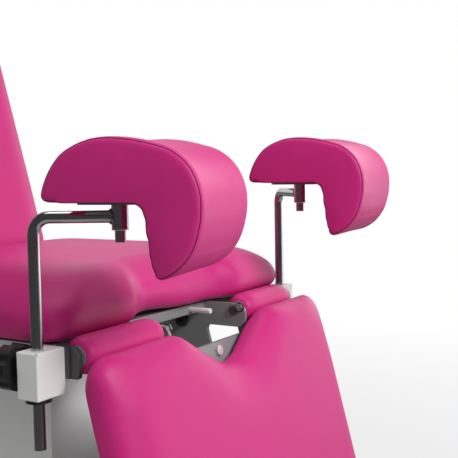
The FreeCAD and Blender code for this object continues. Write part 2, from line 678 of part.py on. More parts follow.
# Knee supports
def pad_wire(at):
    # hook profile: u forward of the hub axis, v above the clamp tops
    v0 = pad_bottom
    pts = ((-55, v0), (52, v0), (64.5, v0 - 5), (69, v0 - 17), (77, v0 - 84), (79.5, v0 - 89.5), (85, v0 - 91),
           (120, v0 - 62), (142, v0 - 10), (123, v0 + 43), (66, v0 + 74), (14, v0 + 78.5), (-35, v0 + 57),
           (-53.5, v0 + 35), (-63, v0 + 8), (-61.5, v0 + 2), (-55, v0))
    p = [at(u, v) for u, v in pts]
    edges = [Part.LineSegment(p[0], p[1]).toShape(), Part.Arc(p[1], p[2], p[3]).toShape(),
             Part.LineSegment(p[3], p[4]).toShape(), Part.Arc(p[4], p[5], p[6]).toShape(),
             Part.Arc(p[6], p[7], p[8]).toShape(), Part.Arc(p[8], p[9], p[10]).toShape(),
             Part.Arc(p[10], p[11], p[12]).toShape(), Part.Arc(p[12], p[13], p[14]).toShape(),
             Part.Arc(p[14], p[15], p[16]).toShape()]
    return Part.Wire(edges)


for name, s, swing, toe, up in support_sides:
    px = s * post_x
    a = math.radians(swing)
    way = V(-s * math.sin(a), -math.cos(a), 0)
    raise_by = V(0, 0, up)
    box = block(s * box_in, s * box_out, -box_half, box_half, -box_high, 0)
    box = box.makeFillet(2, [e for e in box.Edges if abs(e.BoundBox.Center.x) > box_in + 1])
    box = box.cut(rod(bush_r, V(px, 0, -box_high - 1), V(px, 0, -box_lid)))
    box = box.cut(rod(post_r + bolt_fit, V(px, 0, -box_lid - 1), V(px, 0, 1)))
    # relief where the folds of the box meet
    fold = V(s * box_out, -box_half, 0)
    box = box.cut(rod(1.2, fold + V(s * 2, -2, 2), fold - V(s * 4, -4, 4)))
    box = box.cut(rod(screw_r + run_fit, V(px, bush_r - 4, knob_z), V(px, box_half + 1, knob_z)))
    save(name + "_clamp_box", box)
    bush = rod(bush_r - run_fit, V(px, 0, -box_high), V(px, 0, -box_lid - 0.5))
    bush = bush.fuse(rod(bush_r + 4, V(px, 0, -box_high - 5), V(px, 0, -box_high - 0.2)))
    bush = bush.fuse(rod(bush_r - run_fit, V(px, 0, -box_high - 3), V(px, 0, -box_high)))
    bush = bush.cut(rod(post_r + run_fit, V(px, 0, -box_high - 6), V(px, 0, 1)))
    save(name + "_clamp_bush", bush.removeSplitter())
    # knob: a disc with scalloped rim, its screw moulded in
    knob_c = V(px, knob_y, knob_z)
    knob = rod(knob_r, knob_c, knob_c + V(0, 22, 0))
    for i in range(knob_lobes):
        t = 2 * math.pi * (i + 0.5) / knob_lobes
        dent = V(px + (knob_r + 4) * math.cos(t), knob_y - 1, knob_z + (knob_r + 4) * math.sin(t))
        knob = knob.cut(rod(9, dent, dent + V(0, 24, 0)))
    knob = knob.fuse(rod(12, V(px, box_half + 2, knob_z), V(px, knob_y + 4, knob_z)))
    knob = knob.fuse(rod(screw_r, V(px, bush_r + 0.4, knob_z), V(px, knob_y + 4, knob_z)))
    save(name + "_knob", knob.removeSplitter())
    # bent bar: upright, quarter turn, level reach to the hub
    zt = bar_height + up
    bar = rod(post_r, V(px, 0, post_low + up), V(px, 0, zt - post_bend))
    side = V(-way.y, way.x, 0)
    centre = V(px, 0, zt - post_bend) + way * post_bend
    disc = Part.Face(Part.Wire(Part.Circle(V(px, 0, zt - post_bend), V(0, 0, 1), post_r).toShape()))
    elbow = disc.revolve(centre, side * -1, 90)
    if elbow.BoundBox.ZMax < zt:
        elbow = disc.revolve(centre, side, 90)
    start = V(px, 0, zt) + way * post_bend
    hub_at = V(px, 0, 0) + way * post_reach
    bar = bar.fuse(elbow).fuse(rod(post_r, start, V(px, 0, zt) + way * post_reach))
    collar_at = V(px, 0, zt) + way * (post_reach - hub_r - 5)
    bar = bar.fuse(Part.makeCone(post_r, post_r + 2, 8, collar_at, way))
    hub_top = pad_bottom - pad_plate_thick - side_fit
    bar = bar.fuse(rod(hub_r, hub_at + V(0, 0, hub_low + up), hub_at + V(0, 0, hub_top + up)))
    bar = bar.cut(rod(swivel_r + run_fit, hub_at + V(0, 0, hub_low + up - 20), hub_at + V(0, 0, hub_top + up + 1)))
    save(name + "_post", bar.removeSplitter())
    # pad: turned about the hub axis by its toe-in
    t = math.radians(toe)
    ahead = V(-s * math.sin(t), -math.cos(t), 0)
    across = V(math.cos(t), -s * math.sin(t), 0)

    def at(u, v, w=0.0):
        return hub_at + raise_by + ahead * u + across * w + V(0, 0, v)

    pin = rod(swivel_r, at(0, swivel_low), at(0, pad_bottom - pad_plate_thick))
    pts = [at(-42, pad_bottom - pad_plate_thick, w) for w in (-40, 40)]
    pts = pts + [at(42, pad_bottom - pad_plate_thick, w) for w in (40, -40)]
    under = plate(pts, [10] * 4, V(0, 0, pad_plate_thick))
    save(name + "_pad_plate", under.fuse(pin).removeSplitter())
    pts = [at(-40, pad_bottom, w) for w in (-66, 66)] + [at(46, pad_bottom, w) for w in (66, -66)]
    ply = plate(pts, [6] * 4, V(0, 0, 12))
    pts = [at(-40.5, pad_bottom - 1, w) for w in (-66.5, 66.5)] + [at(46.5, pad_bottom - 1, w) for w in (66.5, -66.5)]
    pocket = plate(pts, [6.5] * 4, V(0, 0, 13))
    save(name + "_pad_board", ply)
    face = Part.Face(pad_wire(lambda u, v: at(u, v, -pad_half)))
    pad = face.extrude(across * (2 * pad_half))
    rims = []
    for e in pad.Edges:
        offs = [abs(abs((v.Point - hub_at).dot(across)) - pad_half) < 0.01 for v in e.Vertexes]
        ends = [(v.Point - hub_at).dot(across) for v in e.Vertexes]
        if all(offs) and abs(ends[0] - ends[-1]) < 1:
            rims.append(e)
    try:
        soft = pad.makeFillet(pad_edge, rims)
        pad = soft if soft.isValid() and soft.Volume > 0.9 * pad.Volume else pad
    except Exception as err:
        print("pad rims stay sharp:", err)
    save(name + "_pad_cushion", pad.cut(pocket))
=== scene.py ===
import json
import math
import bpy
import numpy as np
from mathutils import Matrix, Vector
from mathutils.bvhtree import BVHTree


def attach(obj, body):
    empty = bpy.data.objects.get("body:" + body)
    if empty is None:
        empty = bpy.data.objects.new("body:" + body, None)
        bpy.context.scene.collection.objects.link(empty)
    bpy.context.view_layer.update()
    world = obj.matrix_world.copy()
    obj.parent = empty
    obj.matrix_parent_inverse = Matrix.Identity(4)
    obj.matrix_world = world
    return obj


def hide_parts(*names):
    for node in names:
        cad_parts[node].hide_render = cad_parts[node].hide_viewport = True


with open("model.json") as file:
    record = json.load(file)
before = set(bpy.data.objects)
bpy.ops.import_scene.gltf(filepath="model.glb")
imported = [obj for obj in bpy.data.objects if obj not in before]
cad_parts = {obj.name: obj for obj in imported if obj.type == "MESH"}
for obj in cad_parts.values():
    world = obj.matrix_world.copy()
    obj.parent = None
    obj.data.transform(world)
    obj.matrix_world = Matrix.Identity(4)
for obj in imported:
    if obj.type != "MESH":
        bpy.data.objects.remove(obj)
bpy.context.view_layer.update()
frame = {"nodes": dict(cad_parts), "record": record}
cadNodes = frame["nodes"]
slotOf = {row["node"]: row["material_slot"] for row in frame["record"]["subparts"]}
scene = bpy.context.scene
scene.view_settings.view_transform = "Standard"
print("frame:", len(cadNodes), "nodes")

mm = 0.001  # in metres
# the chair's own axes are in mm: x to the patient's left, y back from the post line, z up from the clamps
chairAxes = {"back": -0.294, "up": 0.520}  # where they start in the part frame, in metres


def toPart(x, y, z):  # mm on the chair's axes to metres in the part frame
    x, y, z = np.broadcast_arrays(x, y, z)
    return np.stack([x * mm, y * mm + chairAxes["back"], z * mm + chairAxes["up"]], -1)


def addThing(name, data):
    thing = bpy.data.objects.new(name, data)
    scene.collection.objects.link(thing)
    return thing


# camera, fitted to both knee supports
cameraFit = {
    "place": (-1118.2, -775.4, 231.9),
    "right": (0.52168, -0.85295, -0.01775),
    "down": (-0.07268, -0.0237, -0.99707),
    "ahead": (0.85004, 0.52145, -0.07435),
    "focal": 850.4, "pixels": 458,  # both in pixels of the square picture
    "sensor": 36.0, "clip": (0.01, 100.0),
}


def makeCamera(fit):
    data = bpy.data.cameras.new("photoCamera")
    data.sensor_width = fit["sensor"]
    data.lens = fit["focal"] / fit["pixels"] * data.sensor_width
    data.clip_start, data.clip_end = fit["clip"]
    turn = np.eye(4)
    turn[:3, 0] = fit["right"]
    turn[:3, 1] = -np.array(fit["down"])
    turn[:3, 2] = -np.array(fit["ahead"])
    turn[:3, 3] = toPart(*fit["place"])
    camera = addThing("photoCamera", data)
    camera.matrix_world = Matrix(turn.tolist())
    scene.camera = camera


makeCamera(cameraFit)

# small helpers for node trees


def addNode(tree, kind, **settings):
    # a setting is a socket's value where the node has that socket, or else a property
    node = tree.nodes.new(kind)
    for key, value in settings.items():
        if key in node.inputs:
            node.inputs[key].default_value = value
        else:
            setattr(node, key, value)
    return node


def join(tree, source, target):
    tree.links.new(source, target)


def newGroup(name, inputs, outputs):
    tree = bpy.data.node_groups.new(name, "ShaderNodeTree")
    for label, kind, value in inputs:
        socket = tree.interface.new_socket(label, in_out="INPUT", socket_type=kind)
        socket.default_value = value
    for label in outputs:
        tree.interface.new_socket(label, in_out="OUTPUT", socket_type="NodeSocketFloat")
    return tree, tree.nodes.new("NodeGroupInput"), tree.nodes.new("NodeGroupOutput")


def mathNode(tree, operation, first, second):
    node = addNode(tree, "ShaderNodeMath", operation=operation)
    for slot, value in enumerate((first, second)):
        if isinstance(value, (int, float)):
            node.inputs[slot].default_value = value
        else:
            join(tree, value, node.inputs[slot])
    return node.outputs[0]


def ownPlace(tree, *nodes):
    # the piece's own coordinates, led to each node
    place = addNode(tree, "ShaderNodeTexCoord").outputs["Object"]
    for node in nodes:
        join(tree, place, node.inputs["Vector"])


def makeLeatherGrain():
    # pebbles: soft cells of a fine Voronoi plus a finer noise; drift is a slow noise for colour
    tree, source, sink = newGroup("leatherGrain", [("Scale", "NodeSocketFloat", 900.0)], ["Height", "Drift"])
    cells = addNode(tree, "ShaderNodeTexVoronoi", feature="SMOOTH_F1", Smoothness=0.7)
    fine = addNode(tree, "ShaderNodeTexNoise", Detail=3.0, Roughness=0.6)
    slow = addNode(tree, "ShaderNodeTexNoise", Scale=7.0, Detail=2.0)
    ownPlace(tree, cells, fine, slow)
    join(tree, source.outputs["Scale"], cells.inputs["Scale"])
    join(tree, mathNode(tree, "MULTIPLY", source.outputs["Scale"], 0.35), fine.inputs["Scale"])
    join(tree, mathNode(tree, "ADD", cells.outputs["Distance"], fine.outputs[0]), sink.inputs["Height"])
    join(tree, slow.outputs[0], sink.inputs["Drift"])
    return tree


def makeOrangePeel():
    # powder coat: small soft bumps and a faint slow change of gloss
    tree, source, sink = newGroup("orangePeel", [("Scale", "NodeSocketFloat", 420.0)], ["Height", "Gloss"])
    bumps = addNode(tree, "ShaderNodeTexNoise", Detail=1.5)
    slow = addNode(tree, "ShaderNodeTexNoise", Scale=9.0, Detail=3.0)
    ownPlace(tree, bumps, slow)
    join(tree, source.outputs["Scale"], bumps.inputs["Scale"])
    join(tree, bumps.outputs[0], sink.inputs["Height"])
    join(tree, slow.outputs[0], sink.inputs["Gloss"])
    return tree


def makeBrushing():
    # fine lines: noise squeezed across the brushing direction
    tree, source, sink = newGroup(
        "brushing", [("Across", "NodeSocketVector", (900.0, 900.0, 12.0))], ["Lines", "Smudge"])
    squeeze = addNode(tree, "ShaderNodeVectorMath", operation="MULTIPLY")
    lines = addNode(tree, "ShaderNodeTexNoise", Scale=1.0, Detail=2.0)
    smudge = addNode(tree, "ShaderNodeTexNoise", Scale=14.0, Detail=4.0)
    ownPlace(tree, squeeze, smudge)
    join(tree, source.outputs["Across"], squeeze.inputs[1])
    join(tree, squeeze.outputs[0], lines.inputs["Vector"])
    join(tree, lines.outputs[0], sink.inputs["Lines"])
    join(tree, smudge.outputs[0], sink.inputs["Smudge"])
    return tree


def makeFloorDust():
    # dust mask: strongest at the floor, gone a hand's width above it, broken by noise
    tree, source, sink = newGroup("floorDust", [("Reach", "NodeSocketFloat", 0.22)], ["Mask"])
    split = addNode(tree, "ShaderNodeSeparateXYZ")
    cloud = addNode(tree, "ShaderNodeTexNoise", Scale=22.0, Detail=5.0)
    ownPlace(tree, split, cloud)
    height = mathNode(tree, "DIVIDE", split.outputs["Z"], source.outputs["Reach"])
    near = mathNode(tree, "SUBTRACT", 1.0, height)
    clamp = addNode(tree, "ShaderNodeClamp")
    join(tree, mathNode(tree, "MULTIPLY", near, cloud.outputs[0]), clamp.inputs["Value"])
    join(tree, clamp.outputs[0], sink.inputs["Mask"])
    return tree


leatherGrain = makeLeatherGrain()
orangePeel = makeOrangePeel()
brushing = makeBrushing()
floorDust = makeFloorDust()


def startMaterial(name, colour, **sockets):
    material = bpy.data.materials.new(name)
    material.use_nodes = True
    material.diffuse_color = (*colour, 1.0)
    tree = material.node_tree
    shader = next(n for n in tree.nodes if n.type == "BSDF_PRINCIPLED")
    shader.inputs["Base Color"].default_value = (*colour, 1.0)
    for key, value in sockets.items():
        shader.inputs[key].default_value = value
    return material, tree, shader


def placeGroup(tree, group, **values):
    node = tree.nodes.new("ShaderNodeGroup")
    node.node_tree = group
    for key, value in values.items():
        node.inputs[key].default_value = value
    return node


def mapRange(tree, source, low, high, start=0.25, stop=0.75):
    ends = {"From Min": start, "From Max": stop, "To Min": low, "To Max": high}
    node = addNode(tree, "ShaderNodeMapRange", **ends)
    join(tree, source, node.inputs["Value"])
    return node.outputs[0]


def mixColours(tree, factor, first, second):
    node = addNode(tree, "ShaderNodeMix", data_type="RGBA")
    join(tree, factor, node.inputs["Factor"])
    for slot, value in ((6, first), (7, second)):  # the colour sockets A and B
        if isinstance(value, tuple):
            node.inputs[slot].default_value = (*value, 1.0)
        else:
            join(tree, value, node.inputs[slot])
    return node.outputs[2]


def drift(tree, mask, colour, shades):
    # the colour between a darker and a lighter shade of itself, led by a mask
    dark, light = (tuple(min(1.0, part * amount) for part in colour) for amount in shades)
    return mixColours(tree, mask, dark, light)


def bump(tree, height, shader, strength, distance):
    node = addNode(tree, "ShaderNodeBump", Strength=strength, Distance=distance)
    join(tree, height, node.inputs["Height"])
    join(tree, node.outputs[0], shader.inputs["Normal"])


# shades: share of the colour at the mask's two ends; bump: strength, and distance in metres
vinylFacts = {"specular": 0.30, "grain": 780.0, "shades": (0.94, 1.06), "rough": (0.44, 0.52),
              "bump": (0.10, 0.0006)}


def vinyl(name, colour):
    facts = vinylFacts
    material, tree, shader = startMaterial(name, colour, **{"Specular IOR Level": facts["specular"]})
    grain = placeGroup(tree, leatherGrain, Scale=facts["grain"])
    slow = grain.outputs["Drift"]
    join(tree, drift(tree, slow, colour, facts["shades"]), shader.inputs["Base Color"])
    join(tree, mapRange(tree, slow, *facts["rough"]), shader.inputs["Roughness"])
    bump(tree, grain.outputs["Height"], shader, *facts["bump"])
    return material


paintFacts = {
    "peel": 420.0, "shades": (0.96, 1.03), "rough": (-0.05, 0.07), "bump": (0.06, 0.0008),
    "dust": (0.42, 0.40, 0.37), "dustReach": 0.22, "dustRange": (0.0, 0.35, 0.1, 0.7),
}


def paint(name, colour, rough, dusty=False):
    facts = paintFacts
    material, tree, shader = startMaterial(name, colour)
    peel = placeGroup(tree, orangePeel, Scale=facts["peel"])
    gloss = peel.outputs["Gloss"]
    tint = drift(tree, gloss, colour, facts["shades"])
    if dusty:
        dust = placeGroup(tree, floorDust, Reach=facts["dustReach"])
        share = mapRange(tree, dust.outputs["Mask"], *facts["dustRange"])
        tint = mixColours(tree, share, tint, facts["dust"])
    join(tree, tint, shader.inputs["Base Color"])
    low, high = (rough + part for part in facts["rough"])
    join(tree, mapRange(tree, gloss, low, high), shader.inputs["Roughness"])
    bump(tree, peel.outputs["Height"], shader, *facts["bump"])
    return material


metalFacts = {"shades": (0.93, 1.05), "rough": (0.75, 1.35), "distance": 0.0004}


def metal(name, colour, rough, across, depth):
    facts = metalFacts
    material, tree, shader = startMaterial(name, colour, Metallic=1.0)
    brush = placeGroup(tree, brushing, Across=across)
    lines = brush.outputs["Lines"]
    join(tree, drift(tree, lines, colour, facts["shades"]), shader.inputs["Base Color"])
    low, high = (rough * part for part in facts["rough"])
    join(tree, mapRange(tree, brush.outputs["Smudge"], low, high), shader.inputs["Roughness"])
    bump(tree, lines, shader, depth, facts["distance"])
    return material


mouldedFacts = {"shades": (0.9, 1.1), "rough": (-0.06, 0.08), "bump": (0.08, 0.0005)}


def moulded(name, colour, rough, grain):
    facts = mouldedFacts
    material, tree, shader = startMaterial(name, colour)
    skin = placeGroup(tree, leatherGrain, Scale=grain)
    slow = skin.outputs["Drift"]
    join(tree, drift(tree, slow, colour, facts["shades"]), shader.inputs["Base Color"])
    low, high = (rough + part for part in facts["rough"])
    join(tree, mapRange(tree, slow, low, high), shader.inputs["Roughness"])
    bump(tree, skin.outputs["Height"], shader, *facts["bump"])
    return material


liningFacts = {"rough": 0.92, "felt": 380.0, "shades": (0.7, 1.5), "bump": (0.35, 0.0008)}


def lining(name, colour):
    # felted fibres: the boards' lining, and the thread of the seams
    facts = liningFacts
    material, tree, shader = startMaterial(name, colour, Roughness=facts["rough"])
    felt = addNode(tree, "ShaderNodeTexNoise", Scale=facts["felt"], Detail=6.0)
    ownPlace(tree, felt)
    fibres = felt.outputs[0]
    join(tree, drift(tree, fibres, colour, facts["shades"]), shader.inputs["Base Color"])
    bump(tree, fibres, shader, *facts["bump"])
    return material


finishes = {
    "vinyl": vinyl("magentaVinyl", (0.60, 0.022, 0.205)),
    "seam": lining("seamThread", (0.075, 0.004, 0.030)),
    "weld": metal("weldBead", (0.20, 0.20, 0.21), 0.42, (700.0, 700.0, 700.0), 0.5),
    "white_paint": paint("whiteCoat", (0.82, 0.82, 0.81), 0.34, dusty=True),
    "frame_paint": paint("lightGreyCoat", (0.55, 0.56, 0.57), 0.38, dusty=True),
    "grey_paint": paint("midGreyCoat", (0.26, 0.265, 0.27), 0.40),
    "dark_paint": paint("darkGreyCoat", (0.055, 0.058, 0.062), 0.36),
    "chrome": metal("chromePlate", (0.46, 0.465, 0.47), 0.18, (40.0, 40.0, 40.0), 0.01),
    "pin_steel": metal("turnedSteel", (0.42, 0.425, 0.43), 0.30, (60.0, 60.0, 1600.0), 0.10),
    "bolt_steel": metal("zincSteel", (0.72, 0.73, 0.74), 0.42, (260.0, 260.0, 260.0), 0.05),
    "column_steel": metal("satinColumn", (0.62, 0.63, 0.64), 0.32, (1300.0, 1300.0, 9.0), 0.06),
    "drive_metal": metal("darkDrive", (0.10, 0.103, 0.108), 0.38, (30.0, 900.0, 30.0), 0.06),
    # near-black board lining; where the board shows in the gap under the seat, its black stands for that
    # gap's shade: partly painted shade
    "board": lining("blackLiningAndGapShade", (0.020, 0.019, 0.018)),
    "cover_plastic": moulded("coverPlastic", (0.70, 0.71, 0.71), 0.36, 520.0),
    "white_plastic": moulded("whitePlastic", (0.80, 0.80, 0.79), 0.30, 700.0),
    "black_plastic": moulded("blackPlastic", (0.012, 0.012, 0.013), 0.42, 620.0),
    "rubber": moulded("blackRubber", (0.014, 0.014, 0.014), 0.70, 480.0),
}
for name, thing in cadNodes.items():
    thing.data.materials.clear()
    thing.data.materials.append(finishes[slotOf[name]])
cadNodes["leg_hinge_bolts"].data.materials[0] = finishes["dark_paint"]  # blackened bolts
print("finishes:", len(finishes))

# soft forms: stacks of outlines, then swollen as cloth


def unit(vectors):
    return vectors / np.linalg.norm(vectors, axis=1)[:, None]


def evenLoop(loop, count):
    # the same closed line in equal steps
    ring = np.vstack([loop, loop[:1]])
    steps = np.concatenate([[0], np.cumsum(np.linalg.norm(np.diff(ring, axis=0), axis=1))])
    wanted = np.linspace(0, steps[-1], count, endpoint=False)
    return np.stack([np.interp(wanted, steps, ring[:, k]) for k in (0, 1)], -1)


def easeLoop(loop, rounds):
    # each point takes half of its two neighbours' mean, round after round
    for turn in range(rounds):
        loop = (np.roll(loop, 1, 0) + 2 * loop + np.roll(loop, -1, 0)) / 4
    return loop


def roundOutline(corners, radii, count, arcSteps=17):
    # each corner of the polygon becomes an arc of its radius, then the loop is cut into equal steps
    corners, radii = np.asarray(corners, float), np.asarray(radii, float)
    toLast = unit(np.roll(corners, 1, 0) - corners)
    toNext = unit(np.roll(corners, -1, 0) - corners)
    half = np.arccos(np.clip((toLast * toNext).sum(1), -1, 1)) / 2
    middle = unit(toLast + toNext)
    centre = corners + middle * (radii / np.sin(half))[:, None]
    sweep = np.pi / 2 - half
    turns = np.linspace(-1, 1, arcSteps)[None, :] * sweep[:, None]
    side = np.where((toNext[:, 0] * toLast[:, 1] - toNext[:, 1] * toLast[:, 0]) > 0, 1.0, -1.0)
    c, s = np.cos(turns), np.sin(turns) * side[:, None]
    away = -middle * radii[:, None]
    x, y = away[:, 0:1], away[:, 1:2]
    arcs = np.stack([x * c - y * s, x * s + y * c], -1)
    return evenLoop((centre[:, None, :] + arcs).reshape(-1, 2), count)


def crownIn(share, reach, power):
    # superellipse: how far an edge has drawn in at a share of its height
    return reach * (1 - (1 - share ** power) ** (1 / power))


def newMesh(name, points, faces):
    mesh = bpy.data.meshes.new(name)
    mesh.from_pydata(points.reshape(-1, 3).tolist(), [], faces)
    mesh.update()
    return mesh


def stackMesh(name, rings):
    # closed skin from a stack of equal loops, with a flat face at each end
    rows, count = rings.shape[:2]
    index = np.arange(rows * count).reshape(rows, count)
    beside = np.roll(index, -1, 1)
    quads = np.stack([index[:-1], beside[:-1], beside[1:], index[1:]], -1)
    return newMesh(name, rings, quads.reshape(-1, 4).tolist() + [index[0][::-1].tolist(), index[-1].tolist()])


def readPoints(mesh):
    flat = np.empty(len(mesh.vertices) * 3, np.float32)
    mesh.vertices.foreach_get("co", flat)
    return flat.reshape(-1, 3).astype(float)


def writePoints(mesh, points):
    mesh.vertices.foreach_set("co", points.astype(np.float32).ravel())
    mesh.update()


easeFacts = {"settle": 2, "finish": 3}  # rounds of smoothing


def addSmooth(thing, rounds):
    ease = thing.modifiers.new("ease", "SMOOTH")
    ease.factor, ease.iterations = 0.5, rounds


def bakeModifiers(thing):
    graph = bpy.context.evaluated_depsgraph_get()
    mesh = bpy.data.meshes.new_from_object(thing.evaluated_get(graph))
    thing.modifiers.clear()
    old, thing.data = thing.data, mesh
    bpy.data.meshes.remove(old)
    mesh.name = thing.name


def faceOut(mesh):
    # a closed skin has a positive volume when its faces point outwards
    mesh.calc_loop_triangles()
    index = np.empty(len(mesh.loop_triangles) * 3, np.int32)
    mesh.loop_triangles.foreach_get("vertices", index)
    a, b, c = readPoints(mesh)[index.reshape(-1, 3)].transpose(1, 0, 2)
    if (np.cross(a, b) * c).sum() < 0:
        mesh.flip_normals()


def softStart(name, rings, voxel, smooth, place=None):
    # even skin by a voxel remesh, drawn back onto the form so that no edge is left stepped
    form = addThing(name + "Form", stackMesh(name + "Form", rings))
    thing = addThing(name, form.data.copy())
    remesh = thing.modifiers.new("remesh", "REMESH")
    remesh.mode = "VOXEL"
    remesh.voxel_size = voxel * mm
    addSmooth(thing, smooth)
    onto = thing.modifiers.new("onto", "SHRINKWRAP")
    onto.target, onto.wrap_method = form, "NEAREST_SURFACEPOINT"
    addSmooth(thing, easeFacts["settle"])
    bakeModifiers(thing)
    bpy.data.meshes.remove(form.data)
    if place is not None:
        writePoints(thing.data, place(*(readPoints(thing.data).T * 1000)))
    faceOut(thing.data)
    return thing


def evenOut(mesh, values, rounds):
    # each point takes half of its neighbours' mean, round after round
    pairs = np.empty(len(mesh.edges) * 2, np.int32)
    mesh.edges.foreach_get("vertices", pairs)
    first, second = pairs.reshape(-1, 2).T
    ends, others = np.concatenate([first, second]), np.concatenate([second, first])
    count = len(mesh.vertices)
    near = np.maximum(np.bincount(ends, minlength=count), 1)[:, None]
    for turn in range(rounds):
        total = np.stack([np.bincount(ends, values[others, k], count) for k in range(3)], -1)
        values = 0.5 * values + 0.5 * total / near
    return values


clothFacts = {"steps": 20, "quality": 5, "stretch": 22.0}


def addCloth(thing, facts, fixed):
    held = thing.vertex_groups.new(name="held")
    held.add(fixed.tolist(), 1.0, "REPLACE")
    cloth = thing.modifiers.new("swell", "CLOTH")
    setting = cloth.settings
    setting.quality = clothFacts["quality"]
    setting.use_pressure = True
    setting.uniform_pressure_force = facts["pressure"]
    setting.tension_stiffness = setting.compression_stiffness = clothFacts["stretch"]
    setting.bending_stiffness = facts["stiff"]
    setting.effector_weights.gravity = 0.0
    setting.vertex_group_mass = "held"
    cloth.collision_settings.use_collision = False
    cloth.point_cache.frame_start, cloth.point_cache.frame_end = 1, clothFacts["steps"]


def inflate(things, recipe):
    # all the soft pieces swell together, held where they rest; the move is evened out and limited
    starts = {thing.name: readPoints(thing.data) for thing in things}
    for thing in things:
        facts = recipe[thing.name]
        addCloth(thing, facts, np.nonzero(facts["rests"](starts[thing.name]))[0])
    for step in range(1, clothFacts["steps"] + 1):
        scene.frame_set(step)
    graph = bpy.context.evaluated_depsgraph_get()
    ends = {thing.name: readPoints(thing.evaluated_get(graph).data) for thing in things}
    for thing in things:
        facts, start = recipe[thing.name], starts[thing.name]
        thing.modifiers.clear()
        thing.vertex_groups.clear()
        move = evenOut(thing.data, ends[thing.name] - start, facts["even"])
        length = np.linalg.norm(move, axis=1)[:, None] + 1e-9
        limit = facts["limit"] * mm
        writePoints(thing.data, start + move / length * limit * np.tanh(length / limit))
    scene.frame_set(1)


def finishSoft(thing, smooth):
    addSmooth(thing, smooth)
    bakeModifiers(thing)
    thing.data.shade_smooth()
    finer = thing.modifiers.new("finer", "SUBSURF")
    finer.levels = finer.render_levels = 1
    thing.data.materials.clear()
    thing.data.materials.append(finishes["vinyl"])


# shares of a crown's height, closer together towards its top
crownShares = np.concatenate([np.linspace(0, 0.9, 13), 1 - np.array([0.07, 0.045, 0.025, 0.01, 0.002])])

seatFacts = {
    "half": 314.0, "skirt": 0.6, "top": 91.5, "front": -24.0, "rear": 541.0, "belly": 22.0, "sink": 6.5,
    "slack": 1.0, "margin": 20.0, "points": 320,
    "lobe": 146.0, "cut": 104.0, "deep": 25.0, "shallower": 0.35,
    "lobeBend": 34.0, "cutBend": 60.0, "rearBend": 40.0, "sideBend": (42.0, 30.0),
    # rings under the belly: rise, then how far front, sides and rear are drawn in, and the bend
    "under": ((0.4, 18.0, 7.0, 8.0, 40.0), (10.0, 3.5, 2.0, 4.0, 42.0)), "rearIn": 3.0,
    # crowns: reach and power
    "frontCrown": (100.0, 2.3), "sideCrown": (150.0, 2.6), "rearCrown": (140.0, 2.6),
    "tuck": 12.0, "tuckAt": -75.0, "tuckWide": 60.0, "tuckBack": 60.0, "tuckFade": 30.0, "tuckHigh": 60.0,
}


def seatRings(facts):
    # stacked outlines: two front lobes with a cut between them, edges drawn in on superellipses
    # the lower edge is tucked up beside the right lobe
    def ring(z, front, half, rear, bend, deep):
        narrow = (half - facts["margin"]) / (facts["half"] - facts["margin"])
        lobe, cut, lobeBend, cutBend = (facts[key] * narrow for key in ("lobe", "cut", "lobeBend", "cutBend"))
        corners = [(-half, front), (-lobe, front), (-cut, front + deep), (cut, front + deep), (lobe, front),
                   (half, front), (half, rear), (-half, rear)]
        bends = [bend, lobeBend, cutBend, cutBend, lobeBend, bend, facts["rearBend"], facts["rearBend"]]
        x, y = roundOutline(corners, bends, facts["points"]).T
        beside = np.exp(-((x - facts["tuckAt"]) / facts["tuckWide"]) ** 2)
        beside = beside * np.clip((facts["tuckBack"] - y) / facts["tuckFade"], 0, 1)
        return toPart(x, y, z + facts["tuck"] * beside * np.clip(1 - z / facts["tuckHigh"], 0, 1))

    front = facts["front"] + facts["slack"]
    rings = []
    for rise, frontIn, sideIn, rearIn, bend in facts["under"]:
        rings.append(ring(facts["skirt"] + rise, front + frontIn, facts["half"] - sideIn,
                          facts["rear"] - rearIn, bend, facts["deep"]))
    height = facts["top"] - facts["skirt"] - facts["belly"] - facts["sink"]
    startBend, moreBend = facts["sideBend"]
    for share in crownShares:
        rings.append(ring(facts["skirt"] + facts["belly"] + share * height,
                          front + crownIn(share, *facts["frontCrown"]),
                          facts["half"] - crownIn(share, *facts["sideCrown"]),
                          facts["rear"] - facts["rearIn"] - crownIn(share, *facts["rearCrown"]),
                          startBend + moreBend * share, facts["deep"] * (1 - facts["shallower"] * share)))
    return np.array(rings)


def ownAxes(x, a, b):  # mm on a piece's own axes to metres, not yet placed
    return np.stack(np.broadcast_arrays(x * mm, a * mm, b * mm), -1)


def tiltedMap(axis, degrees, way):
    # a along a leaning cushion, up it for way 1 and down it for way -1, b out of its front
    c, s = math.cos(math.radians(degrees)), math.sin(math.radians(degrees))

    def place(x, a, b):
        return toPart(x, axis[0] + way * a * s - b * c, axis[1] + way * a * c + b * s)

    return place


legFacts = {
    "axis": (-30.0, -14.0), "hang": 15.0, "half": 315.0, "end": 424.0, "face": 74.0, "back": 17.0,
    "belly": 34.0, "top": 3.5, "slack": 1.5, "crown": (72.0, 2.6), "points": 300,
    "notch": 128.0, "deep": 88.0, "rim": 4.0, "widen": 0.5,
    "corner": (32.0, 1.3, 61.0), "bends": (50.0, 86.0, 54.0),  # bends: shoulder, notch, lower end
    # rings behind the belly: rise from the back, top edge, inset
    "under": ((0.4, 27.5, 1.5), (5.0, 17.0, 0.0), (10.0, 8.0, 0.0)),
}
legAt = tiltedMap(legFacts["axis"], legFacts["hang"], -1)


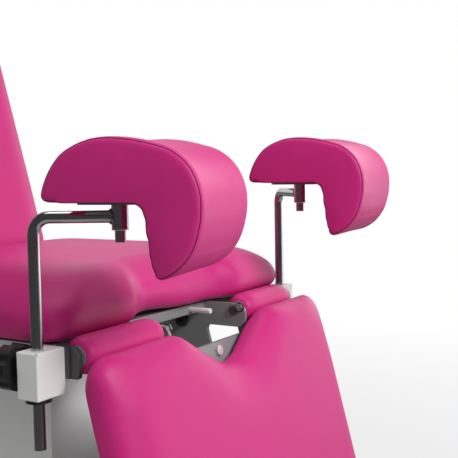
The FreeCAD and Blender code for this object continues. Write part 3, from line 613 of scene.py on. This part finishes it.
def legRings(facts):
    # stacked outlines with a rounded notch in the top edge
    shoulder, hollow, lower = facts["bends"]
    start, more, most = facts["corner"]

    def ring(out, top, inset):
        half, low, deep = facts["half"] - inset, facts["end"] - inset, facts["deep"] + inset
        wide = (facts["notch"] + facts["widen"] * inset) * (deep - top) / (facts["deep"] - facts["rim"])
        corners = [(-half, top), (-wide, top), (0, deep), (wide, top), (half, top), (half, low), (-half, low)]
        edge = min(start + more * inset, most)
        bends = [edge, shoulder, hollow, shoulder, edge, lower, lower]
        return ownAxes(*roundOutline(corners, bends, facts["points"]).T, out)

    slack = facts["slack"]
    rings = [ring(facts["back"] + rise, top, inset) for rise, top, inset in facts["under"]]
    depth = facts["face"] - facts["belly"] - slack
    for share in crownShares:
        inset = crownIn(share, *facts["crown"])
        rings.append(ring(facts["belly"] + share * depth, facts["top"] + inset, slack * share + inset))
    return np.array(rings)


backFacts = {
    "axis": (615.0, 30.0), "lean": 16.5, "half": 295.0, "low": -12.0, "top": 740.0, "face": 72.0,
    "rear": -20.0, "belly": 26.0, "crown": (80.0, 3.8), "under": (0.4, 12.0), "bends": (40.0, 80.0),
    "points": 300,
}
backAt = tiltedMap(backFacts["axis"], backFacts["lean"], 1)


def backRings(facts):
    # stacked rounded oblongs
    lower, upper = facts["bends"]

    def ring(out, inset):
        half, low, top = facts["half"] - inset, facts["low"] + inset, facts["top"] - inset
        corners = [(-half, low), (half, low), (half, top), (-half, top)]
        return ownAxes(*roundOutline(corners, [lower, lower, upper, upper], facts["points"]).T, out)

    rise, inset = facts["under"]
    rings = [ring(facts["rear"] + rise, inset)]
    depth = facts["face"] - facts["rear"] - facts["belly"]
    for share in crownShares:
        rings.append(ring(facts["rear"] + facts["belly"] + share * depth, crownIn(share, *facts["crown"])))
    return np.array(rings)


rollFacts = {
    "axis": (-30.0, -14.0), "inner": 119.0, "outer": 288.5, "radius": 27.0, "slack": 0.6,
    # ends: length and depth of the turn, the outer one by side
    "innerEnd": (24.0, 11.0), "outerEnds": {-1: (16.0, 9.0), 1: (46.0, 21.0)},
    "endSteps": 9, "runSteps": 12, "points": 72,
}


def rollRings(facts, side):
    # a cylinder along x whose ends turn in on a quarter ellipse
    quarter = np.linspace(0, np.pi / 2, facts["endSteps"])
    (inLong, inDeep), (outLong, outDeep) = facts["innerEnd"], facts["outerEnds"][side]
    inner, outer = facts["inner"] + inLong, facts["outer"] - outLong
    x = np.concatenate([facts["inner"] + inLong * (1 - np.sin(quarter)[::-1]),
                        np.linspace(inner, outer, facts["runSteps"] + 2)[1:-1],
                        facts["outer"] - outLong * (1 - np.sin(quarter))])
    drawn = np.concatenate([inDeep * (1 - np.cos(quarter))[::-1], np.zeros(facts["runSteps"]),
                            outDeep * (1 - np.cos(quarter))])
    radius = (facts["radius"] - facts["slack"] - drawn)[:, None]
    turn = np.linspace(0, 2 * np.pi, facts["points"], endpoint=False) * side
    y, z = facts["axis"]
    return toPart(side * x[:, None], y + radius * np.cos(turn), z + radius * np.sin(turn))


padFacts = {
    "post": 330.0, "reach": 112.5, "bottom": 191.0, "half": 85.0, "edge": 9.0, "slack": 0.3,
    "rimSteps": 6, "runSteps": 12, "points": 260,
    # the saddle is on the faces that look this way, above a height
    "saddle": 5.0, "saddleWay": (0.55, 0.83), "saddleFade": (0.1, 0.6), "saddleLow": -60.0,
    # by side: sign of x, swing of the bar and toe of the pad in degrees, rise of the post
    "sides": {"right": (-1, 26.5, 12.0, 0.0), "left": (1, 41.7, -5.5, 9.7)},
    # hook profile as arcs, each with a point on its way: u ahead of the hub, v above the pad's underside
    "hook": ((-56, 0), (0, 0), (55, 0), (68, -5), (73, -18), (77.2, -50.5), (81.5, -83), (84, -90),
             (90.5, -91.5), (121, -72), (142, -29), (145, 1), (133, 40), (118, 56), (89, 68.5), (55, 76),
             (20, 78.8), (-10, 74), (-37.5, 60), (-56, 35), (-66, 8.5), (-64, 1.8)),
    "arcSteps": 40, "hookSteps": 520, "hookEase": 24,
}


def arcPoints(first, middle, last, count):
    # circle through three points, or the straight run between them
    first, middle, last = (np.array(p, float) for p in (first, middle, last))
    share = np.linspace(0, 1, count, endpoint=False)[:, None]
    (x1, y1), (x2, y2), (x3, y3) = first, middle, last
    area = 2 * (x1 * (y2 - y3) + x2 * (y3 - y1) + x3 * (y1 - y2))
    if abs(area) < 1e-6:
        return first + (last - first) * share
    s1, s2, s3 = (p @ p for p in (first, middle, last))
    centre = np.array([(s1 * (y2 - y3) + s2 * (y3 - y1) + s3 * (y1 - y2)) / area,
                       (s1 * (x3 - x2) + s2 * (x1 - x3) + s3 * (x2 - x1)) / area])
    start, mid, stop = (math.atan2(*(p - centre)[::-1]) for p in (first, middle, last))
    mid, stop = (start + (angle - start) % (2 * np.pi) for angle in (mid, stop))
    if mid > stop:
        stop -= 2 * np.pi
    turn = start + (stop - start) * share
    return centre + np.linalg.norm(first - centre) * np.hstack([np.cos(turn), np.sin(turn)])


def hookLoop(facts, count):
    # the arcs in a closed line, with the joins between them eased
    knots = facts["hook"]
    arcs = [arcPoints(knots[k], knots[k + 1], knots[(k + 2) % len(knots)], facts["arcSteps"])
            for k in range(0, len(knots), 2)]
    loop = evenLoop(np.vstack(arcs), facts["hookSteps"])
    return evenLoop(easeLoop(loop, facts["hookEase"]), count)


def inwardOf(loop):
    ahead = unit(np.roll(loop, -1, 0) - np.roll(loop, 1, 0))
    area = (loop[:, 0] * np.roll(loop[:, 1], -1) - np.roll(loop[:, 0], -1) * loop[:, 1]).sum()
    return np.stack([-ahead[:, 1], ahead[:, 0]], -1) * np.sign(area)


def turnedMap(centre, side, degrees, base, up):
    # axes turned about an upright line to the part frame: w across, u ahead, v up
    c, s = math.cos(math.radians(degrees)), math.sin(math.radians(degrees))
    ahead, across = (-side * s, -c), (c, -side * s)

    def place(w, u, v):
        x = centre[0] + ahead[0] * u + across[0] * w
        y = centre[1] + ahead[1] * u + across[1] * w
        return toPart(x, y, v + base + up)

    return place


def hubOf(facts, side, swing):
    turn = math.radians(swing)
    return side * facts["post"] - side * facts["reach"] * math.sin(turn), -facts["reach"] * math.cos(turn)


def padRings(facts):
    # hook profile carried across the pad: rounded rims at both ends, a shallow saddle between them
    loop = hookLoop(facts, facts["points"])
    inward = inwardOf(loop)
    start, fade = facts["saddleFade"]
    outerFace = np.clip((inward * -1 @ np.array(facts["saddleWay"]) + start) / fade, 0, 1)
    outerFace = outerFace * (loop[:, 1] > facts["saddleLow"])
    quarter = np.linspace(0, np.pi / 2, facts["rimSteps"])
    edge, run = facts["edge"], facts["runSteps"]
    end = facts["half"] - facts["slack"]
    half = np.concatenate([end - edge + edge * np.cos(quarter), np.linspace(end - edge, 0, run)[1:]])
    drawn = np.concatenate([edge * (1 - np.sin(quarter)), np.zeros(run - 1)])
    w = np.concatenate([-half, half[::-1][1:]])
    drawn = np.concatenate([drawn, drawn[::-1][1:]]) + facts["slack"]
    dip = facts["saddle"] * (1 - (np.abs(w) / facts["half"]) ** 2.0)
    inset = drawn[:, None] + dip[:, None] * outerFace[None, :]
    u = loop[None, :, 0] + inward[None, :, 0] * inset
    v = loop[None, :, 1] + inward[None, :, 1] * inset
    return ownAxes(w[:, None], u, v)


# skins: voxel in mm, rounds of smoothing
skinFacts = {"seat": (6.5, 6), "back": (7.0, 6), "leg": (5.2, 4), "roll": (3.5, 4), "pad": (3.0, 5)}
softPieces = {}
softPieces["seatCushion"] = softStart("seatCushion", seatRings(seatFacts), *skinFacts["seat"])
softPieces["backCushion"] = softStart("backCushion", backRings(backFacts), *skinFacts["back"], backAt)
softPieces["legCushion"] = softStart("legCushion", legRings(legFacts), *skinFacts["leg"], legAt)
for label, side in (("right", -1), ("left", 1)):
    softPieces[label + "LegRoll"] = softStart(
        label + "LegRoll", rollRings(rollFacts, side), *skinFacts["roll"])
padPlaces = {}
for label, (side, swing, toe, up) in padFacts["sides"].items():
    padPlaces[label] = turnedMap(hubOf(padFacts, side, swing), side, toe, padFacts["bottom"], up)
    softPieces[label + "KneePad"] = softStart(
        label + "KneePad", padRings(padFacts), *skinFacts["pad"], padPlaces[label])
print("soft forms:", {name: len(thing.data.vertices) for name, thing in softPieces.items()})

# where each piece is held: near its mounting face, the rolls nowhere
heldFacts = {"depth": 0.006, "pad": 0.004}


def below(level):
    return lambda points: points[:, 2] < level


def nearBack(place, face):
    base = place(0.0, 0.0, face)
    way = place(0.0, 0.0, 1000.0) - place(0.0, 0.0, 0.0)
    return lambda points: (points - base) @ way < heldFacts["depth"]


def padHeld(label):
    level = toPart(0, 0, padFacts["bottom"] + padFacts["sides"][label][3])[2]
    return lambda points: np.abs(points[:, 2] - level) < heldFacts["pad"]


def swell(pressure, stiff, limit, even, rests):
    return {"pressure": pressure, "stiff": stiff, "limit": limit, "even": even, "rests": rests}


# pressure, stiffness, limit in mm, rounds of evening out, held points
swellRecipe = {
    "seatCushion": swell(4.0, 0.6, 4.0, 30, below(chairAxes["up"] + heldFacts["depth"])),
    "backCushion": swell(4.0, 0.6, 4.0, 30, nearBack(backAt, backFacts["rear"])),
    "legCushion": swell(4.0, 0.6, 3.0, 30, nearBack(legAt, legFacts["back"])),
    "rightLegRoll": swell(3.0, 0.4, 1.0, 20, below(0.0)),
    "leftLegRoll": swell(3.0, 0.4, 1.0, 20, below(0.0)),
    "rightKneePad": swell(4.0, 0.5, 2.2, 60, padHeld("right")),
    "leftKneePad": swell(4.0, 0.5, 2.2, 60, padHeld("left")),
}
inflate(list(softPieces.values()), swellRecipe)
for thing in softPieces.values():
    finishSoft(thing, easeFacts["finish"])
print("soft pieces swollen")

# sewn seams of the knee pads, laid on the swollen skin
seamFacts = {"across": 84.0, "radius": 0.9, "sunk": 0.35, "sides": 8, "points": 420, "ease": 6}


def loopTube(name, line, outward, radii, sides):
    # circle of the given radius at each point of a closed line, square to the line
    ahead = unit(np.roll(line, -1, 0) - np.roll(line, 1, 0))
    outward = unit(outward - ahead * (outward * ahead).sum(1)[:, None])
    side = np.cross(ahead, outward)
    turn = np.linspace(0, 2 * np.pi, sides, endpoint=False)[None, :, None]
    ring = np.cos(turn) * outward[:, None, :] + np.sin(turn) * side[:, None, :]
    points = line[:, None, :] + ring * radii[:, None, None]
    index = np.arange(len(line) * sides).reshape(len(line), sides)
    nextRow = np.roll(index, -1, 0)
    quads = np.stack([index, nextRow, np.roll(nextRow, -1, 1), np.roll(index, -1, 1)], -1).reshape(-1, 4)
    mesh = newMesh(name, points, quads.tolist())
    faceOut(mesh)
    mesh.shade_smooth()
    return addThing(name, mesh)


def layOn(thing, finish, body):
    thing.data.materials.append(finishes[finish])
    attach(thing, body)


def seamTube(name, skin, place, facts, across):
    # the hook profile drawn onto the skin, then a thread along it
    loop = place(across, *hookLoop(padFacts, facts["points"]).T)
    hits = [skin.find_nearest(point) for point in loop.tolist()]
    line = easeLoop(np.array([hit[0] for hit in hits]), facts["ease"])
    outward = easeLoop(np.array([hit[1] for hit in hits]), facts["ease"])
    line = line - outward * facts["sunk"] * mm
    return loopTube(name, line, outward, np.full(len(line), facts["radius"] * mm), facts["sides"])


for label, place in padPlaces.items():
    graph = bpy.context.evaluated_depsgraph_get()
    skin = BVHTree.FromObject(softPieces[label + "KneePad"], graph)
    for end, across in (("Outer", -seamFacts["across"]), ("Inner", seamFacts["across"])):
        name = label + "Pad" + end + "Seam"
        layOn(seamTube(name, skin, place, seamFacts, across), "seam", label + "_pad")
print("pad seams laid")

# small fittings: weld round each bar where it meets its hub, the hub's lower lip (a thin ring in steel
# lighter than the chrome hub, partly a painted highlight), a washer on each cheek bolt
ringFacts = {"points": 160, "sides": 10}
angles = np.linspace(0, 2 * np.pi, ringFacts["points"], endpoint=False)
weldFacts = {
    "bar": 8.0, "hub": 10.7, "height": 170.7, "thick": 2.1, "sunk": 0.6, "lumps": 0.5,
    "ripples": ((1.0, 23, 0.0), (0.6, 14, 1.1), (0.4, 37, 2.3)),  # size, waves, start
}


def hubWeld(name, place, facts):
    # the saddle line where a round bar enters a round hub, with the ripple of a hand weld
    across, rise = facts["bar"] * np.sin(angles), facts["bar"] * np.cos(angles)
    along = padFacts["reach"] - np.sqrt(facts["hub"] ** 2 - across ** 2) - facts["sunk"]
    line = place(across, along, facts["height"] + rise)
    outward = line - place(0.0, along, facts["height"])
    ripple = sum(size * np.sin(waves * angles + start) for size, waves, start in facts["ripples"])
    radii = (facts["thick"] + facts["lumps"] * ripple / 2) * mm
    return loopTube(name, line, outward, radii, ringFacts["sides"])


highlightLipFacts = {"ring": 10.1, "low": 154.4, "thick": 0.9}


# thin rounded lip at the hub's lower edge: real geometry that catches the light, and a painted highlight in
# its zinc steel, lighter than the chrome hub
def hubHighlightLip(name, place, facts):
    across, along = facts["ring"] * np.sin(angles), padFacts["reach"] + facts["ring"] * np.cos(angles)
    line = place(across, along, facts["low"])
    outward = line - place(0.0, padFacts["reach"], facts["low"])
    return loopTube(name, line, outward, np.full(len(line), facts["thick"] * mm), ringFacts["sides"])


washerFacts = {"at": (-43.6, -7.6), "face": 107.0, "ring": 6.6, "thick": 1.3, "proud": 0.8}


def cheekWasher(name, side, facts):
    y, z = facts["at"]
    line = toPart(side * (facts["face"] - facts["thick"] * facts["proud"]),
                  y + facts["ring"] * np.cos(angles), z + facts["ring"] * np.sin(angles))
    outward = line - toPart(side * facts["face"], y, z)
    return loopTube(name, line, outward, np.full(len(line), facts["thick"] * mm), ringFacts["sides"])


for label, (side, swing, toe, up) in padFacts["sides"].items():
    place = turnedMap((side * padFacts["post"], 0.0), side, swing, 0.0, up)
    layOn(hubWeld(label + "HubWeld", place, weldFacts), "weld", label + "_support")
    layOn(hubHighlightLip(label + "HubHighlightLip", place, highlightLipFacts), "bolt_steel", label + "_support")
    layOn(cheekWasher(label + "CheekWasher", side, washerFacts), "black_plastic", "carriage")
print("small fittings laid")

softRides = {
    "seatCushion": ("carriage", "seat_cushion"), "backCushion": ("backrest", "back_cushion"),
    "legCushion": ("leg_section", "leg_cushion"), "rightLegRoll": ("leg_section", "right_leg_roll"),
    "leftLegRoll": ("leg_section", "left_leg_roll"), "rightKneePad": ("right_pad", "right_pad_cushion"),
    "leftKneePad": ("left_pad", "left_pad_cushion"),
}
for name, (body, node) in softRides.items():
    thing = softPieces[name]
    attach(thing, body)
    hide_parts(node)

# stage: pale floor, white surround, soft studio light
# floor is its tone; near, far and share say where it turns white and from what; level lights the surround
stageFacts = {"reach": 40.0, "floor": 0.45, "near": 0.8, "far": 2.6, "share": 0.72, "level": 0.26}


def emptyMaterial(name):
    material = bpy.data.materials.new(name)
    material.use_nodes = True
    tree = material.node_tree
    tree.nodes.clear()
    return material, tree, addNode(tree, "ShaderNodeOutputMaterial").inputs["Surface"]


def seenRays(tree):
    # 1 for rays from the camera and for mirror and glass rays
    path = addNode(tree, "ShaderNodeLightPath")
    seen = mathNode(tree, "MAXIMUM", path.outputs["Is Camera Ray"], path.outputs["Is Glossy Ray"])
    return mathNode(tree, "MAXIMUM", seen, path.outputs["Is Transmission Ray"])


def makeStage(facts):
    # pale floor that turns into the white surround a few steps away from the chair
    corners = np.array([(-1, -1, 0), (1, -1, 0), (1, 1, 0), (-1, 1, 0)]) * facts["reach"]
    mesh = newMesh("studioFloor", corners, [(0, 1, 2, 3)])
    floor = addThing("studioFloor", mesh)
    material, tree, out = emptyMaterial("paleFloor")
    matt = addNode(tree, "ShaderNodeBsdfDiffuse", Color=(facts["floor"],) * 3 + (1.0,))
    glow = addNode(tree, "ShaderNodeEmission", Strength=1.0)
    away = addNode(tree, "ShaderNodeVectorMath", operation="LENGTH")
    ownPlace(tree, away)
    share = mapRange(tree, away.outputs["Value"], facts["share"], 1.0, facts["near"], facts["far"])
    mix = addNode(tree, "ShaderNodeMixShader")
    seen = addNode(tree, "ShaderNodeLightPath").outputs["Is Camera Ray"]
    join(tree, mathNode(tree, "MULTIPLY", seen, share), mix.inputs[0])
    join(tree, matt.outputs[0], mix.inputs[1])
    join(tree, glow.outputs[0], mix.inputs[2])
    join(tree, mix.outputs[0], out)
    mesh.materials.append(material)


def makeWorld(facts):
    world = bpy.data.worlds.new("studioWhite")
    scene.world = world
    world.use_nodes = True
    tree = world.node_tree
    tree.nodes.clear()
    out = addNode(tree, "ShaderNodeOutputWorld")
    back = addNode(tree, "ShaderNodeBackground", Color=(1.0, 1.0, 1.0, 1.0))
    lift = mathNode(tree, "MULTIPLY", seenRays(tree), 1.0 - facts["level"])
    join(tree, mathNode(tree, "ADD", lift, facts["level"]), back.inputs["Strength"])
    join(tree, back.outputs[0], out.inputs["Surface"])


# cards: profile of reach and height in metres, turn in degrees, tone; each glows at its tone and only
# reflections see it, as painted dark and bright reflections
cardCentre = (0.0, -0.2)
cardFacts = {
    "studioFlag": {"profile": ((1.1, 0.01), (3.2, 0.02), (3.2, 2.4), (2.6, 3.0), (1.6, 3.7)),
                   "turn": (100.0, 282.0), "tone": 0.075},
    "upperFlag": {"profile": ((2.6, 2.5), (2.2, 3.2), (1.4, 3.7)), "turn": (-18.0, 100.0), "tone": 0.1},
    # painted bright reflection: this card's glow shows only as pale sheen on the vinyl and metal
    "lowCard": {"profile": ((3.0, 0.05), (3.0, 1.2)), "turn": (300.0, 350.0), "tone": 2.0},
}


def makeCard(name, profile, turn, tone, steps=33):
    # card that only reflections see, glowing dark or bright at its tone: a painted reflection, a profile
    # swept round the chair
    sweep = np.radians(np.linspace(*turn, steps))
    reach, height = np.array(profile).T[:, :, None]
    x, y = cardCentre[0] + reach * np.cos(sweep), cardCentre[1] + reach * np.sin(sweep)
    points = np.stack(np.broadcast_arrays(x, y, height), -1)
    index = np.arange(points.size // 3).reshape(points.shape[:2])
    quads = np.stack([index[:-1, :-1], index[:-1, 1:], index[1:, 1:], index[1:, :-1]], -1).reshape(-1, 4)
    mesh = newMesh(name, points, quads.tolist())
    card = addThing(name, mesh)
    material, tree, out = emptyMaterial(name)
    glow = addNode(tree, "ShaderNodeEmission", Color=(tone, tone, tone, 1.0), Strength=1.0)
    join(tree, glow.outputs[0], out)
    mesh.materials.append(material)
    card.visible_camera = card.visible_diffuse = card.visible_shadow = card.visible_transmission = False


# lamps: place, aim and size in metres, power in watts
lampFacts = {
    "keyBox": {"place": (-0.55, -3.2, 2.4), "aim": (0.0, -0.2, 0.7), "size": (1.2, 1.0), "power": 93.0},
    "sideBox": {"place": (3.2, -0.4, 1.3), "aim": (0.0, -0.3, 0.7), "size": (1.6, 1.8), "power": 18.0},
    "rearBox": {"place": (-2.0, 2.7, 1.9), "aim": (0.1, -0.4, 0.7), "size": (1.6, 2.0), "power": 30.0,
                "mirrored": False},
    "topBox": {"place": (0.0, 0.0, 3.5), "aim": (0.0, 0.0, 0.6), "size": (2.2, 2.2), "power": 26.0},
}


def softBox(name, place, aim, size, power, mirrored=True):
    data = bpy.data.lights.new(name, "AREA")
    data.shape, data.size, data.size_y = "RECTANGLE", size[0], size[1]
    data.energy = power
    lamp = addThing(name, data)
    lamp.location = place
    lamp.rotation_euler = (Vector(aim) - Vector(place)).to_track_quat("-Z", "Y").to_euler()
    lamp.visible_camera = False
    lamp.visible_glossy = mirrored


makeStage(stageFacts)
makeWorld(stageFacts)
for name, facts in cardFacts.items():
    makeCard(name, **facts)
for name, facts in lampFacts.items():
    softBox(name, **facts)
print("stage ready")
